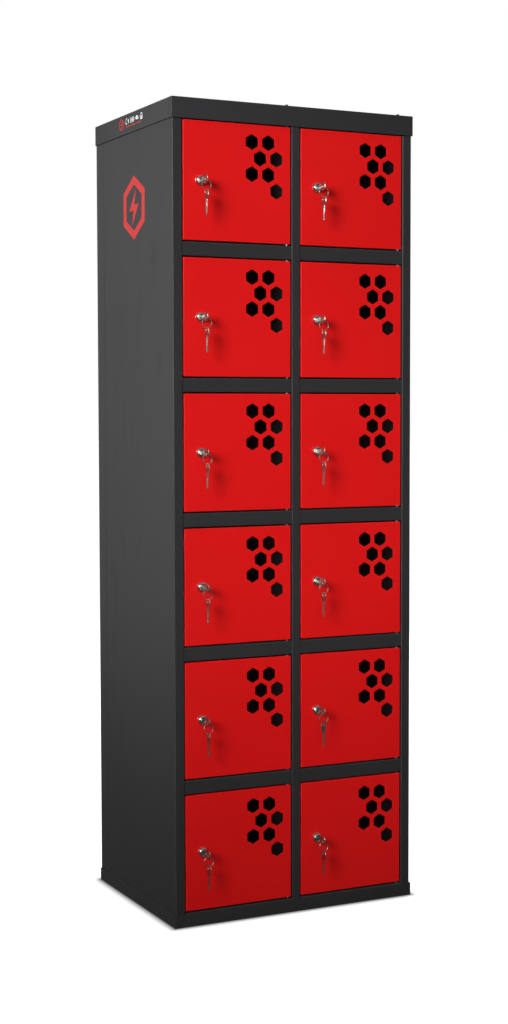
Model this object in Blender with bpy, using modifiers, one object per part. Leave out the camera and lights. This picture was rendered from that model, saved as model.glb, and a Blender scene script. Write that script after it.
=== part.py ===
"""Phone charging kiosk: a steel locker with twelve keyed, vented doors.

Metres, +Z up, front at -Y. The origin is the middle of the underside. Run it with
blender --background --python part.py, or from Blender's text editor.

Sheet-metal pieces are paths folded round the sheet's outer face and extruded. Seen from the
end that the extrusion points to, the outside is on the right of somebody walking the path.
"""

import math

import bmesh
import bpy
from mathutils import Matrix, Vector

# Cabinet
WIDTH, DEPTH, HEIGHT = 0.600, 0.450, 1.800  # over the cap and the base
SIDE_OVERHANG, FRONT_OVERHANG = 0.0025, 0.003  # of the cap and base past the body
CAP_SKIRT, BASE_SKIRT = 0.0445, 0.0285
SHEET = 0.0012
FIT = 0.0003  # gap between pieces that touch
STILE_DEPTH = 0.018  # how far the stiles and the mullion fold back
RAIL_RETURN = 0.015
MULLION_WIDTH = 0.020
BACK_FLANGE = 0.010  # of the back panel, inside the side panels
DUCT_WIDTH, DUCT_DEPTH = 0.090, 0.028
OUTLET_SIZE, OUTLET_X = 0.026, 0.0235
INLET_WIDTH, INLET_HEIGHT, INLET_Z = 0.048, 0.027, 0.110

# Doors
ROWS = 6
DOOR_WIDTH, DOOR_HEIGHT, DOOR_DEPTH = 0.259, 0.256, 0.0115
DOOR_PITCH = 0.2927
LOWEST_DOOR = 0.034  # underside of the bottom row
DOOR_GAP = 0.003
DOOR_RECESS = 0.001  # behind the stiles' face
DOOR_EDGE_RADIUS = 0.0016
VENT_FLATS, VENT_PITCH = 0.0295, 0.0401
VENT_FROM_EDGE, VENT_FROM_TOP = 0.0344, 0.0380
VENT_PLACES = ((0, 0), (2, 0), (1, 1), (3, 1), (0, 2), (2, 2), (3, 3))  # half pitches, rows

# Hinge pins
PIN_RADIUS, PIN_HOLE_RADIUS = 0.0025, 0.0031
PIN_FROM_EDGE, PIN_FROM_FACE = 0.0065, 0.0055
PIN_REACH = 0.0055  # past the door
PIN_HEAD_RADIUS, PIN_HEAD_HEIGHT = 0.0032, 0.0035

# Locks, from the lock axis at the door's face, with -Y outwards
LOCK_FROM_EDGE = 0.040
BARREL_RADIUS, BARREL_HOLE_RADIUS, BARREL_LENGTH = 0.0094, 0.0102, 0.020
BEZEL_RADIUS, BEZEL_HEIGHT = 0.0111, 0.0075
NUT_RADIUS, NUT_THICKNESS = 0.0135, 0.004
BORE_RADIUS, PLUG_RADIUS = 0.0062, 0.0057
PLUG_FACE = -0.0070
CAM_WIDTH, CAM_THICKNESS, CAM_LENGTH = 0.012, 0.002, 0.050
CAM_FRONT = BARREL_LENGTH + 0.0005

# Keys
KEY_THICKNESS, BLADE_WIDTH = 0.002, 0.0075
BOW_RADIUS, BOW_HOLE_RADIUS, BOW_HOLE_OFFSET = 0.011, 0.004, 0.0045
BOW_REACH = 0.029  # from the door's face to the bow's middle
SPARE_BLADE = 0.0335  # past the bow
RING_RADIUS, RING_WIRE, RING_WIRE_SIDES = 0.011, 0.00075, 4
RING_DROP = 0.0136  # from the lock axis to the ring's middle
HANGING_PLACE = 0.0070  # from the lock axis down to the middle of the bow's web
TWISTED_SPARE = ("right", 5)  # this spare key shows its broad side
SPARE_TWIST = math.radians(-60)

# Worked out from the above
BODY_X = WIDTH / 2 - SIDE_OVERHANG
BODY_FRONT = -DEPTH / 2 + FRONT_OVERHANG
BODY_BACK = DEPTH / 2 - SHEET - FIT
BODY_TOP = HEIGHT - SHEET - FIT
BODY_BOTTOM = SHEET + FIT
DUCT_FRONT = BODY_BACK - SHEET - FIT - DUCT_DEPTH
DOOR_FACE = BODY_FRONT + DOOR_RECESS
MULLION_X = MULLION_WIDTH / 2
STILE_X = MULLION_X + 2 * DOOR_GAP + DOOR_WIDTH  # inner edge of a stile
RAIL_HEIGHT = DOOR_PITCH - DOOR_HEIGHT - 2 * DOOR_GAP
RAIL_FRONT = BODY_FRONT + SHEET / 2
PIN_Y = DOOR_FACE + PIN_FROM_FACE
DOOR_LEFT_EDGE = {"left": -STILE_X + DOOR_GAP, "right": MULLION_X + DOOR_GAP}
PIN_X = {side: x + DOOR_WIDTH - PIN_FROM_EDGE for side, x in DOOR_LEFT_EDGE.items()}
BOW_HOLE_REACH = BOW_REACH + BOW_HOLE_OFFSET
SILL_TOP = LOWEST_DOOR - DOOR_GAP
UPRIGHT = (0, 0, BODY_TOP - BODY_BOTTOM)
LOCK_ON_DOOR = Vector((PIN_FROM_EDGE - DOOR_WIDTH + LOCK_FROM_EDGE, -PIN_FROM_FACE, DOOR_HEIGHT / 2))

COLOURS = {
    "charcoal": ((0.035, 0.034, 0.036), 0.45, 0.0),
    "red": ((0.70, 0.012, 0.010), 0.40, 0.0),
    "chrome": ((0.75, 0.75, 0.74), 0.12, 1.0),
    "nickel": ((0.62, 0.60, 0.56), 0.25, 1.0),
}


def door_bottom(row):
    return LOWEST_DOOR + (ROWS - row) * DOOR_PITCH


def named_collection(name):
    made = bpy.data.collections.new(name)
    bpy.context.scene.collection.children.link(made)
    return made


def paint(name, colour):
    rgb, roughness, metallic = COLOURS[colour]
    made = bpy.data.materials.new(name)
    made.use_nodes = True
    made.diffuse_color = (*rgb, 1)
    shader = made.node_tree.nodes["Principled BSDF"]
    shader.inputs["Base Color"].default_value = (*rgb, 1)
    shader.inputs["Roughness"].default_value = roughness
    shader.inputs["Metallic"].default_value = metallic
    return made


def add_object(name, mesh, collection, parent=None, place=(0, 0, 0)):
    made = bpy.data.objects.new(name, mesh)
    collection.objects.link(made)
    made.parent = parent
    made.location = place
    return made


def add_piece(name, mesh, colour, parent=None, place=(0, 0, 0)):
    """A sub-part with a material of its own, whatever other object shares its mesh."""
    made = add_object(name, mesh, PARTS, parent, place)
    if not mesh.materials:
        mesh.materials.append(None)
    made.material_slots[0].link = "OBJECT"
    made.material_slots[0].material = paint(name, colour)
    return made


def mesh_of(bm, name):
    made = bpy.data.meshes.new(name)
    bm.to_mesh(made)
    bm.free()
    return made


def boxes(*spans):
    """Separate boxes in one mesh, each from its low and high corner."""
    bm = bmesh.new()
    for low, high in spans:
        low, high = Vector(low), Vector(high)
        place = Matrix.Translation((low + high) / 2) @ Matrix.Diagonal((*(high - low), 1))
        bmesh.ops.create_cube(bm, size=1, matrix=place)
    return mesh_of(bm, "box")


TURNED_TO = {"X": Matrix.Rotation(math.pi / 2, 4, "Y"), "Y": Matrix.Rotation(-math.pi / 2, 4, "X"),
             "Z": Matrix.Identity(4)}


def rods(axis, radius, length, middles, sides=12):
    """Separate solid rods along one axis in one mesh, with a corner at the lowest point."""
    bm = bmesh.new()
    for middle in middles:
        turned = Matrix.Translation(middle) @ TURNED_TO[axis]
        bmesh.ops.create_cone(bm, cap_ends=True, segments=sides, radius1=radius, radius2=radius,
                              depth=length, matrix=turned)
    return mesh_of(bm, "rod")


def folded(path, end, thickness=SHEET):
    """A sheet folded along a path of 3-D points, which is its outer face, and extruded by end."""
    bm = bmesh.new()
    corners = [bm.verts.new(point) for point in path]
    edges = [bm.edges.new(pair) for pair in zip(corners, corners[1:])]
    grown = bmesh.ops.extrude_edge_only(bm, edges=edges)["geom"]
    bmesh.ops.translate(bm, verts=[g for g in grown if isinstance(g, bmesh.types.BMVert)], vec=end)
    first = edges[0].link_faces[0]
    first.normal_update()
    outward = (Vector(path[1]) - Vector(path[0])).cross(Vector(end))
    if first.normal.dot(outward) < 0:
        bmesh.ops.reverse_faces(bm, faces=bm.faces)
    return thickened(mesh_of(bm, "sheet"), thickness)


def thickened(mesh, thickness=SHEET):
    """The sheet with its thickness added behind its faces."""
    sheet = add_object("sheet", mesh, CUTTERS)
    solid = sheet.modifiers.new("thickness", "SOLIDIFY")
    solid.thickness = thickness
    solid.offset = -1
    solid.use_even_offset = True
    return settled(sheet)


def settled(thing):
    """The object's evaluated mesh; the object itself is removed."""
    bpy.context.view_layer.update()
    seen = thing.evaluated_get(bpy.context.evaluated_depsgraph_get())
    mesh = bpy.data.meshes.new_from_object(seen)
    helpers = [m.object for m in thing.modifiers if m.type == "BOOLEAN"]
    for spent in (thing, *helpers):
        bpy.data.objects.remove(spent)
    return mesh


def shaped(mesh, cuts=(), joins=()):
    """The mesh with other meshes joined to it and then cut from it."""
    body = add_object("body", mesh, CUTTERS)
    for operation, others in (("UNION", joins), ("DIFFERENCE", cuts)):
        for other in others:
            helper = add_object("cutter", other, CUTTERS)
            helper.hide_render = True
            helper.display_type = "WIRE"
            step = body.modifiers.new(operation.lower(), "BOOLEAN")
            step.operation = operation
            step.solver = "EXACT"
            step.object = helper
    return settled(body)


def turned(profile, steps=12):
    """A closed (radius, height in front of the door) profile, turned round the lock's axis."""
    bm = bmesh.new()
    corners = [bm.verts.new((radius, 0, height)) for radius, height in profile]
    for pair in zip(corners, corners[1:] + corners[:1]):
        bm.edges.new(pair)
    lathe = add_object("profile", mesh_of(bm, "profile"), CUTTERS)
    screw = lathe.modifiers.new("turn", "SCREW")
    screw.steps = screw.render_steps = steps
    screw.use_merge_vertices = True
    screw.merge_threshold = 0.00001
    mesh = settled(lathe)
    mesh.transform(Matrix.Rotation(math.pi / 2, 4, "X"))
    return mesh


def side_path(hand):
    """A side panel, hand -1 on the left and 1 on the right, as its outline from above."""
    outline = [
        (hand * STILE_X, BODY_FRONT + STILE_DEPTH),
        (hand * STILE_X, BODY_FRONT),
        (hand * BODY_X, BODY_FRONT),
        (hand * BODY_X, BODY_BACK),
    ]
    return [(x, y, BODY_BOTTOM) for x, y in outline[::hand]]


def back_path():
    """The back panel as its outline from above, a tray with its flanges inside the side panels."""
    x, front = BODY_X - SHEET - FIT, BODY_BACK - BACK_FLANGE
    outline = [(x, front), (x, BODY_BACK), (-x, BODY_BACK), (-x, front)]
    return [(x, y, BODY_BOTTOM) for x, y in outline]


def uprights_cutter(low, high):
    """What the cap, the sill and the shelves leave free for the stiles and the mullion."""
    back = BODY_FRONT + STILE_DEPTH + FIT
    front = BODY_FRONT - 3 * FIT
    outer = BODY_X + FIT
    inner = STILE_X - FIT
    half = MULLION_X + FIT
    spans = ((-outer, -inner), (-half, half), (inner, outer))
    return boxes(*(((x0, front, low), (x1, back, high)) for x0, x1 in spans))


def pin_holes(low, high):
    middles = [(x, PIN_Y, (low + high) / 2) for x in PIN_X.values()]
    return rods("Z", PIN_HOLE_RADIUS, high - low, middles, sides=8)


def pan(width, depth, height, open_side, radius=0.0):
    """An open box of sheet standing on z 0, without its "top", "bottom" or "back" face."""
    bm = bmesh.new()
    place = Matrix.Translation((0, 0, height / 2)) @ Matrix.Diagonal((width, depth, height, 1))
    bmesh.ops.create_cube(bm, size=1, matrix=place)
    way = {"top": Vector((0, 0, 1)), "bottom": Vector((0, 0, -1)), "back": Vector((0, 1, 0))}
    away = [face for face in bm.faces if face.normal.dot(way[open_side]) > 0.9]
    bmesh.ops.delete(bm, geom=away, context="FACES_ONLY")
    if radius:
        folds = [edge for edge in bm.edges if len(edge.link_faces) == 2]
        bmesh.ops.bevel(bm, geom=folds, offset=radius, segments=1, affect="EDGES")
    return thickened(mesh_of(bm, "pan"))


def sill_mesh(outer_y, top, drop, lap):
    """A folded ledge between the uprights: up from behind a skirt, back, and down a little."""
    lip = RAIL_RETURN / 2
    path = [
        (-STILE_X, outer_y, top - drop - lap),
        (-STILE_X, outer_y, top),
        (-STILE_X, outer_y + RAIL_RETURN, top),
        (-STILE_X, outer_y + RAIL_RETURN, top - lip),
    ]
    return folded(path[::-1], (2 * STILE_X, 0, 0))


def cap_mesh():
    skirt = pan(WIDTH, DEPTH, CAP_SKIRT, "bottom")
    skirt.transform(Matrix.Translation((0, 0, HEIGHT - CAP_SKIRT)))
    low = HEIGHT - CAP_SKIRT
    ledge = boxes(((-BODY_X, -DEPTH / 2 + SHEET / 2, low), (BODY_X, RAIL_RETURN + BODY_FRONT, low + SHEET)))
    head_middle = HEIGHT + PIN_HEAD_HEIGHT / 2 - SHEET / 2
    heads = rods("Z", PIN_HEAD_RADIUS, PIN_HEAD_HEIGHT + SHEET,
                 [(x, PIN_Y, head_middle) for x in PIN_X.values()], sides=6)
    cuts = [uprights_cutter(low - SHEET, low + 2 * SHEET), pin_holes(low - SHEET, low + 2 * SHEET)]
    return shaped(skirt, joins=[ledge, heads], cuts=cuts)


def base_mesh():
    tray = pan(WIDTH, DEPTH, BASE_SKIRT, "top")
    sill = sill_mesh(-DEPTH / 2 + SHEET / 2, SILL_TOP, SILL_TOP - BASE_SKIRT, BASE_SKIRT / 2)
    cuts = [uprights_cutter(2 * SHEET, SILL_TOP + SHEET), pin_holes(SILL_TOP - 3 * SHEET, SILL_TOP + SHEET)]
    return shaped(tray, joins=[sill], cuts=cuts)


def shelf_mesh():
    """A shelf with its top at z 0; its front folds down as the rail between two doors."""
    edge_x = BODY_X - SHEET - FIT
    back = BODY_BACK - SHEET - FIT
    path = [
        (-edge_x, back, 0),
        (-edge_x, RAIL_FRONT, 0),
        (-edge_x, RAIL_FRONT, -RAIL_HEIGHT),
        (-edge_x, RAIL_FRONT + RAIL_RETURN, -RAIL_HEIGHT),
    ]
    below, above = -RAIL_HEIGHT - SHEET, SHEET
    slot_x = SHEET / 2 + FIT
    slot = boxes(((-slot_x, BODY_FRONT + STILE_DEPTH, below), (slot_x, FIT, above)))
    duct_x = DUCT_WIDTH / 2 + FIT
    beside_duct = boxes(((-duct_x, DUCT_FRONT - FIT, below), (duct_x, DEPTH, above)))
    flange_x = edge_x - SHEET - FIT
    flange_front = BODY_BACK - BACK_FLANGE - FIT
    past_flanges = boxes(
        ((-BODY_X, flange_front, below), (-flange_x, DEPTH, above)),
        ((flange_x, flange_front, below), (BODY_X, DEPTH, above)),
    )
    cuts = [uprights_cutter(below, above), slot, beside_duct, past_flanges, pin_holes(below, above)]
    return shaped(folded(path, (2 * edge_x, 0, 0)), cuts=cuts)


def divider_mesh():
    """The mullion's channel with the web between the columns, notched from the back for shelves."""
    deep = BODY_FRONT + STILE_DEPTH
    path = [(-MULLION_X, deep), (-MULLION_X, BODY_FRONT), (MULLION_X, BODY_FRONT), (MULLION_X, deep)]
    length = BODY_TOP - BODY_BOTTOM
    channel = folded([(x, y, BODY_BOTTOM) for x, y in path], (0, 0, length))
    web_back = DUCT_FRONT - FIT
    web = boxes(((-SHEET / 2, BODY_FRONT + SHEET / 2, BODY_BOTTOM), (SHEET / 2, web_back, BODY_TOP)))
    notches = boxes(*(
        ((-SHEET, 0, shelf_top(row) - SHEET - FIT), (SHEET, DEPTH, shelf_top(row) + FIT))
        for row in range(1, ROWS)
    ))
    return shaped(channel, joins=[web], cuts=[notches])


def shelf_top(row):
    """Top of the shelf that the doors of this row stand above."""
    return door_bottom(row) - DOOR_GAP


def duct_mesh():
    back = BODY_BACK - SHEET - FIT
    half = DUCT_WIDTH / 2
    path = [(-half, back), (-half, DUCT_FRONT), (half, DUCT_FRONT), (half, back)]
    channel = folded([(x, y, BODY_BOTTOM) for x, y in path], (0, 0, BODY_TOP - BODY_BOTTOM))
    windows = []
    for row in range(1, ROWS + 1):
        middle = door_bottom(row) + DOOR_HEIGHT / 2
        for x in (-OUTLET_X, OUTLET_X):
            reach = Vector((OUTLET_SIZE, 4 * SHEET, OUTLET_SIZE)) / 2
            place = Vector((x, DUCT_FRONT + SHEET / 2, middle))
            windows.append((place - reach, place + reach))
    return shaped(channel, cuts=[boxes(*windows)])


def back_mesh():
    panel = folded(back_path(), (0, 0, BODY_TOP - BODY_BOTTOM))
    reach = Vector((INLET_WIDTH, 4 * SHEET, INLET_HEIGHT)) / 2
    place = Vector((0, BODY_BACK, INLET_Z))
    return shaped(panel, cuts=[boxes((place - reach, place + reach))])


def door_mesh():
    """A folded door with its hinge axis at x 0, y 0 and its underside at z 0."""
    skin = pan(DOOR_WIDTH, DOOR_DEPTH, DOOR_HEIGHT, "back", DOOR_EDGE_RADIUS)
    skin.transform(Matrix.Translation((PIN_FROM_EDGE - DOOR_WIDTH / 2, DOOR_DEPTH / 2 - PIN_FROM_FACE, 0)))
    pin_length = PIN_REACH + 3 * SHEET
    pins = rods("Z", PIN_RADIUS, pin_length,
                [(0, 0, pin_length / 2 - PIN_REACH),
                 (0, 0, DOOR_HEIGHT + PIN_REACH - pin_length / 2)], sides=8)
    row_pitch = VENT_PITCH * math.sqrt(3) / 2
    furthest = max(place[0] for place in VENT_PLACES)
    vent_middles = [
        (PIN_FROM_EDGE - VENT_FROM_EDGE - (furthest - half) * VENT_PITCH / 2, -PIN_FROM_FACE,
         DOOR_HEIGHT - VENT_FROM_TOP - row * row_pitch)
        for half, row in VENT_PLACES
    ]
    vents = rods("Y", VENT_FLATS / math.sqrt(3), 4 * SHEET, vent_middles, sides=6)
    barrel_hole = rods("Y", BARREL_HOLE_RADIUS, 4 * SHEET, [LOCK_ON_DOOR], sides=14)
    return shaped(skin, joins=[pins], cuts=[vents, barrel_hole])


def lock_mesh():
    profile = [
        (BORE_RADIUS, BEZEL_HEIGHT),
        (BEZEL_RADIUS * 0.80, BEZEL_HEIGHT * 0.90),
        (BEZEL_RADIUS, BEZEL_HEIGHT * 0.35),
        (BEZEL_RADIUS, FIT),
        (BARREL_RADIUS, FIT),
        (BARREL_RADIUS, -BARREL_LENGTH),
        (BORE_RADIUS, -BARREL_LENGTH),
    ]
    nut_middle = SHEET + FIT + NUT_THICKNESS / 2
    nut = rods("Y", NUT_RADIUS, NUT_THICKNESS, [(0, nut_middle, 0)], sides=6)
    bore = rods("Y", BORE_RADIUS, 2 * NUT_THICKNESS, [(0, nut_middle, 0)])
    return shaped(turned(profile), joins=[shaped(nut, cuts=[bore])])


def key_mesh(blade, blade_end):
    """A key in the YZ plane with its bow's middle at the origin, its blade along +Y."""
    bow = rods("X", BOW_RADIUS, KEY_THICKNESS, [(0, 0, 0)], sides=14)
    shank = boxes(((-KEY_THICKNESS / 2, BOW_RADIUS * 0.6, -blade / 2),
                   (KEY_THICKNESS / 2, blade_end, blade / 2)))
    hole = rods("X", BOW_HOLE_RADIUS, 2 * KEY_THICKNESS, [(0, -BOW_HOLE_OFFSET, 0)], sides=10)
    return shaped(bow, joins=[shank], cuts=[hole])


def plug_mesh():
    """Plug, cam and the key in it: everything that turns in the lock. The cam points down."""
    back = CAM_FRONT + 2 * CAM_THICKNESS
    plug = rods("Y", PLUG_RADIUS, back - PLUG_FACE, [(0, (back + PLUG_FACE) / 2, 0)])
    cam = boxes(((-CAM_WIDTH / 2, CAM_FRONT, -CAM_LENGTH),
                 (CAM_WIDTH / 2, CAM_FRONT + CAM_THICKNESS, CAM_WIDTH / 2 + FIT)))
    key = key_mesh(BLADE_WIDTH, BOW_REACH + PLUG_FACE + 2 * FIT)
    key.transform(Matrix.Translation((0, -BOW_REACH, 0)))
    return shaped(plug, joins=[cam, key])


def spare_keys_mesh(twist):
    """Ring and spare key, with the place where the ring's joint holds it at the origin."""
    ring_middle = HANGING_PLACE - RING_DROP
    corners = [-math.tau * k / RING_WIRE_SIDES for k in range(RING_WIRE_SIDES)]
    wire = [(RING_RADIUS + RING_WIRE * math.cos(a), RING_WIRE * math.sin(a)) for a in corners]
    ring = turned(wire, steps=16)
    ring.transform(Matrix.Translation((0, 0, ring_middle)))
    hole_middle = ring_middle - RING_RADIUS + RING_WIRE / 2 - BOW_HOLE_RADIUS
    key = key_mesh(BLADE_WIDTH, BOW_RADIUS + SPARE_BLADE)
    key.transform(Matrix.Translation((0, BOW_HOLE_OFFSET, 0)))
    key.transform(Matrix.Translation((0, 0, hole_middle)) @ Matrix.Rotation(twist, 4, "Z")
                  @ Matrix.Rotation(-math.pi / 2, 4, "X"))
    return shaped(ring, joins=[key])


def add_cabinet():
    pieces = {
        "base_tray": base_mesh(),
        "left_side": folded(side_path(-1), UPRIGHT),
        "right_side": folded(side_path(1), UPRIGHT),
        "back_panel": back_mesh(),
        "centre_divider": divider_mesh(),
        "power_duct": duct_mesh(),
        "top_cap": cap_mesh(),
    }
    for name, mesh in pieces.items():
        add_piece(name, mesh, "charcoal")
    shelf = shelf_mesh()
    for row in range(1, ROWS):
        add_piece(f"shelf_{row}", shelf, "charcoal", place=(0, 0, shelf_top(row)))


def add_doors():
    """Each door's origin is on its hinge axis, each lock's and plug's on the lock's axis."""
    door, lock, plug = door_mesh(), lock_mesh(), plug_mesh()
    spare, twisted = spare_keys_mesh(0), spare_keys_mesh(SPARE_TWIST)
    for side, pin_x in PIN_X.items():
        for row in range(1, ROWS + 1):
            mark = f"{side}_{row}"
            leaf = add_piece(f"door_{mark}", door, "red", place=(pin_x, PIN_Y, door_bottom(row)))
            body = add_piece(f"lock_body_{mark}", lock, "chrome", leaf, LOCK_ON_DOOR)
            turning = add_piece(f"key_plug_{mark}", plug, "nickel", body)
            hung = twisted if (side, row) == TWISTED_SPARE else spare
            place = (0, -BOW_HOLE_REACH, -HANGING_PLACE)
            add_piece(f"spare_keys_{mark}", hung, "nickel", turning, place)


for old in list(bpy.data.objects):
    bpy.data.objects.remove(old)
PARTS = named_collection("phone_charging_kiosk")
CUTTERS = named_collection("cutters")
add_cabinet()
add_doors()
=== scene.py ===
"""Phone charging kiosk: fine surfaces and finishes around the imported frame.

Metres, +Z up, doors towards -Y. A shape is worked out as whole arrays of points: a plate is an
outline filled less its holes, a pan or a folded sheet is a profile carried along a path, and a
turned part is a profile carried round an axis.
"""

import math

import bmesh
import bpy
import numpy as np
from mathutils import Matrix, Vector
from mathutils.geometry import delaunay_2d_cdt


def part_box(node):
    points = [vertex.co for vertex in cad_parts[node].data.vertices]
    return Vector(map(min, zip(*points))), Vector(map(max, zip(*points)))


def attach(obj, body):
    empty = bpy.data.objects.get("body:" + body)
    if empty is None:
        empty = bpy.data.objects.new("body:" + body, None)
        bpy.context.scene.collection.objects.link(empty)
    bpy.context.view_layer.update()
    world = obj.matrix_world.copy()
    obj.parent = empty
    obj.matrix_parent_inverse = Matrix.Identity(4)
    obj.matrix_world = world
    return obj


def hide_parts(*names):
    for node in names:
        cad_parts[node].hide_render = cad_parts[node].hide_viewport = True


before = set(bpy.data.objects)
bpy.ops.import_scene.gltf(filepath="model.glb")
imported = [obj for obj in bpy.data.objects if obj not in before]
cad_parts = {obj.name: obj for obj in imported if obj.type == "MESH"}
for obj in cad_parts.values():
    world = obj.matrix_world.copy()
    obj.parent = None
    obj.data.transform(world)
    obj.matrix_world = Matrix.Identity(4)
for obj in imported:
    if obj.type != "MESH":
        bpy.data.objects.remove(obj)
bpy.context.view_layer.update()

# Sheet metal
SHEET = 0.0012
FIT = 0.0003  # gap between sheets that touch
BEND = 0.0019  # outer radius of the cabinet's folds
LEDGE_BEND, MULLION_BEND, DOOR_BEND = 0.0016, 0.0014, 0.0013  # the sharper folds
TIGHTEST_BEND = 0.0002
STRIP = 0.0007  # flat strip beside a fold, which keeps the flats' shading flat
FOLD_STEPS = 6
SHARP = math.radians(32)

# Cabinet, from the front, the back or the floor
STILE_DEPTH = 0.018
SEAM_FROM_BACK, SEAM_HALF, SEAM_DEPTH = 0.045, 0.0011, 0.00077
RAIL_RETURN = 0.015
LEDGE_LAP = 0.010  # of a ledge behind the cap's or the base's skirt
SILL_LIP = 0.0075
BASE_SKIRT = 0.0285
DUCT_HALF = 0.045
SOCKET_X, SOCKET_HOLE = 0.0235, 0.026
INLET_HEIGHT, INLET_HOLE = 0.110, (0.048, 0.027)
HOLE_CORNER = 0.001

# Doors
PIN_REACH, PIN_RADIUS, PIN_FROM_EDGE, PIN_FROM_FACE = 0.0055, 0.0025, 0.0065, 0.0055
PIN_TAIL = 0.004  # inside the door
ROD_RADIUS, ROD_HEAD = 0.0032, 0.0035  # the hinge rods' ends on the cap
VENT_FLATS, VENT_PITCH, VENT_CORNER = 0.0295, 0.0401, 0.0011
VENT_FROM_EDGE, VENT_FROM_TOP = 0.0344, 0.0380
VENT_PLACES = ((0, 0), (2, 0), (1, 1), (3, 1), (0, 2), (2, 2), (3, 3))  # half pitches, rows
HOLE_LIP = 0.00035  # how far the paint rounds a cut edge

# Locks and keys, from the lock's axis at the door's face
BEZEL_RADIUS, BEZEL_REACH = 0.0111, 0.0075
BARREL_RADIUS, BARREL_LENGTH, BARREL_FLAT = 0.0094, 0.020, 0.0085
BARREL_PLAY = 0.0006  # of the door's hole round it
THREAD_PITCH, THREAD_DEPTH, THREAD_END = 0.0012, 0.0004, 0.0003
NUT_THICKNESS = 0.004
BORE_RADIUS, PLUG_RADIUS, PLUG_REACH = 0.0062, 0.0057, 0.0070
CAM_WIDTH, CAM_THICKNESS, CAM_LENGTH, CAM_HOLE = 0.012, 0.002, 0.050, 0.0028
CAM_GAP = 0.0005  # from the barrel's end
KEY_THICKNESS, KEY_BLADE, KEY_IN_LOCK = 0.002, 0.0075, 0.010
CUT_PLACES = np.array([0.0255, 0.0291, 0.0327, 0.0363, 0.0399])  # from the bow's middle
CUT_DEPTHS = np.array([0.0016, 0.0026, 0.0011, 0.0022, 0.0014])
BOW_RADIUS, BOW_HOLE, BOW_HOLE_OFFSET, BOW_REACH = 0.011, 0.004, 0.0045, 0.029
SPARE_BLADE = 0.0335
RING_RADIUS, RING_WIRE, RING_DROP = 0.011, 0.00075, 0.0136
TWISTED_SPARE, SPARE_TWIST = "right_5", math.radians(-60)

# Sockets, one for each locker
SOCKET_PLATE, SOCKET_BODY, SOCKET_DEPTH = 0.0305, 0.0250, 0.0120
WIDE_PORT, NARROW_PORT = (0.0130, 0.0056), (0.0090, 0.0033)
WIDE_PLACE, NARROW_PLACE, LAMP_PLACE = (0, 0.0052), (0, -0.0042), (0.0108, -0.0108)

# Vinyl signs; a place is a depth and a height
VINYL, VINYL_EDGE = 0.00025, 0.00005
EMBLEM_FLATS, EMBLEM_BAND, EMBLEM_PLACE = 0.124, 0.017, (-0.007, 1.587)
LABEL_PLACE = (-0.001, 1.780)

SIDES, ROWS = ("left", "right"), range(1, 7)
MARKS = [f"{side}_{row}" for side in SIDES for row in ROWS]

# The cabinet's driving places, read from the frame's nodes
LEFT, DIVIDER, CAP, BASE = (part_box(name) for name in
                            ("left_side", "centre_divider", "top_cap", "base_tray"))
FRONT, BACK = LEFT[0].y, LEFT[1].y
LOW, HIGH = LEFT[0].z, LEFT[1].z
STILE_X = min(abs(LEFT[0].x), abs(LEFT[1].x))
MULLION_X = DIVIDER[1].x
BAYS = ((-STILE_X + FIT, -MULLION_X - FIT), (MULLION_X + FIT, STILE_X - FIT))
SEAM_Y = BACK - SEAM_FROM_BACK
CAP_TOP = CAP[1].z - ROD_HEAD
SILL_TOP = BASE[1].z


# ---------------- shapes


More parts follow.
